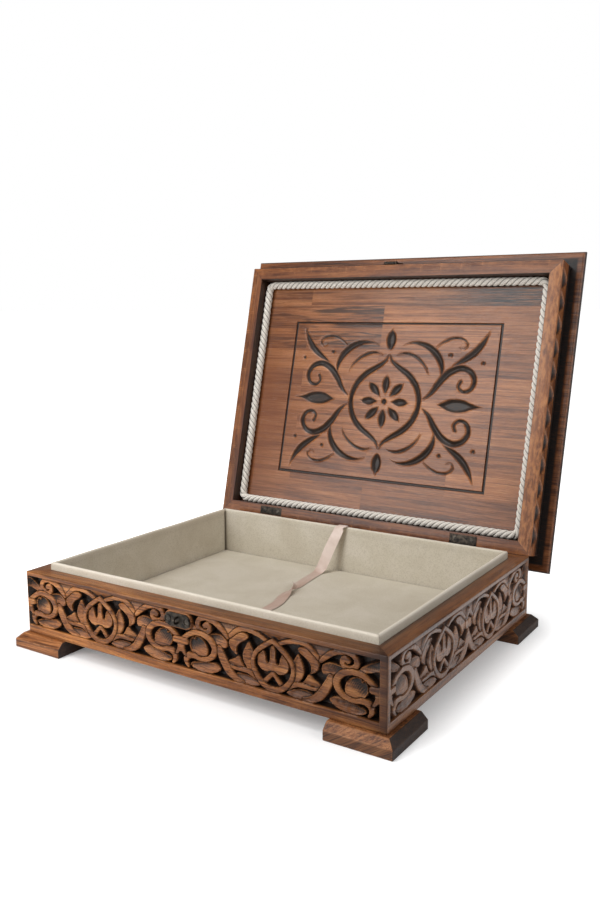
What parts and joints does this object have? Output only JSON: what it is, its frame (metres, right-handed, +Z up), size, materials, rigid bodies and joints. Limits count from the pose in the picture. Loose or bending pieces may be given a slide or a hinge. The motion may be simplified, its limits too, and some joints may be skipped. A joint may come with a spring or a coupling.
{
  "type": "quran box",
  "caption": "Carved wooden book box on block feet, with a suede-lined tray, a lift ribbon, a rope-trimmed hinged lid and a hasp and staple.",
  "frame": {"origin": "on the floor under the middle of the whole part, open lid included", "axes": "+Z up, -Y towards the front with the latch, +X to the right seen from the front"},
  "size_m": [0.363, 0.3716, 0.3294],
  "materials": {
    "carved_wood": "stained red-brown and waxed",
    "bottom_wood": "plain board, oiled",
    "tray_suede": "beige suede over board",
    "ribbon_satin": "pale pink satin",
    "cream_rope": "twisted cream cord",
    "antique_brass": "darkened antique",
    "screw_steel": "plain"
  },
  "bodies": {
    "base": {"front_wall": "carved_wood", "back_wall": "carved_wood", "left_wall": "carved_wood", "right_wall": "carved_wood", "bottom_board": "bottom_wood", "foot_front_left": "carved_wood", "foot_front_right": "carved_wood", "foot_back_left": "carved_wood", "foot_back_right": "carved_wood", "foot_screws": "screw_steel", "tray_floor": "tray_suede", "tray_front": "tray_suede", "tray_back": "tray_suede", "tray_left": "tray_suede", "tray_right": "tray_suede", "lift_ribbon": "ribbon_satin", "left_hinge_base_leaf": "antique_brass", "right_hinge_base_leaf": "antique_brass", "left_hinge_pin": "antique_brass", "right_hinge_pin": "antique_brass", "base_hinge_screws": "antique_brass", "staple_plate": "antique_brass", "staple_screws": "antique_brass"},
    "lid": {"lid_front_rail": "carved_wood", "lid_back_rail": "carved_wood", "lid_left_rail": "carved_wood", "lid_right_rail": "carved_wood", "lid_top_board": "carved_wood", "lid_inner_panel": "carved_wood", "rope_trim": "cream_rope", "left_hinge_lid_leaf": "antique_brass", "right_hinge_lid_leaf": "antique_brass", "lid_hinge_screws": "antique_brass", "latch_plate": "antique_brass", "latch_pin": "antique_brass", "latch_screws": "antique_brass"},
    "hasp": {"latch_hasp": "antique_brass"}
  },
  "joints": [
    {"name": "lid_hinge", "type": "hinge", "parent": "base", "child": "lid", "pos_m": [0, 0.0872, 0.065], "axis": [1, 0, 0], "range_deg": [0, 104]},
    {"name": "hasp_swing", "type": "hinge", "parent": "lid", "child": "hasp", "pos_m": [-0.004, 0.15454, 0.32349], "axis": [1, 0, 0], "range_deg": [0, 166.4]}
  ]
}
